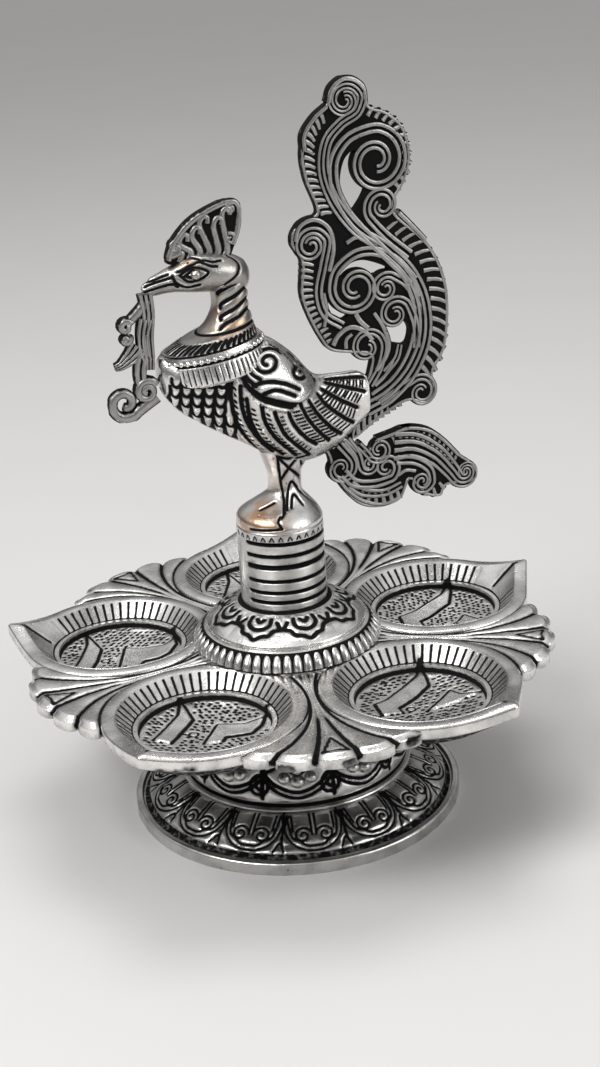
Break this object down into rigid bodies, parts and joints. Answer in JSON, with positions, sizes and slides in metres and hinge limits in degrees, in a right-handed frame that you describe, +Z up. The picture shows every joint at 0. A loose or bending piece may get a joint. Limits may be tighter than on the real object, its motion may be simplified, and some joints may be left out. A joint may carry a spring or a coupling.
{
  "type": "peacock oil lamp",
  "caption": "Footed ritual lamp with a ring of spouted oil cups, a ringed post and a crested bird whose tail is a pierced scrollwork plume.",
  "frame": {"origin": "centre of the bounding box's footprint, on the plane that the foot stands on", "axes": "+Z up along the post, the bird faces -X, its mid-plane is parallel to XZ"},
  "size_m": [0.1264, 0.126, 0.164],
  "materials": {
    "silver": "silver-plated casting, polished ridges over blackened recesses",
    "dark_silver": "silver-plated casting with a heavy black patina",
    "brass": "plain brass, dull",
    "steel": "zinc-plated stud"
  },
  "bodies": {
    "root": {"foot": "dark_silver", "drum": "dark_silver", "lamp_plate": "silver", "gadroon_ring": "silver", "lotus_dome": "silver", "ringed_post": "silver", "perch": "silver", "body": "silver", "neck_and_head": "silver", "crest": "silver", "vine": "silver", "tail_plume": "dark_silver", "lower_plume": "dark_silver", "tie_stud": "steel", "washer": "brass", "nut": "brass"}
  },
  "joints": []
}
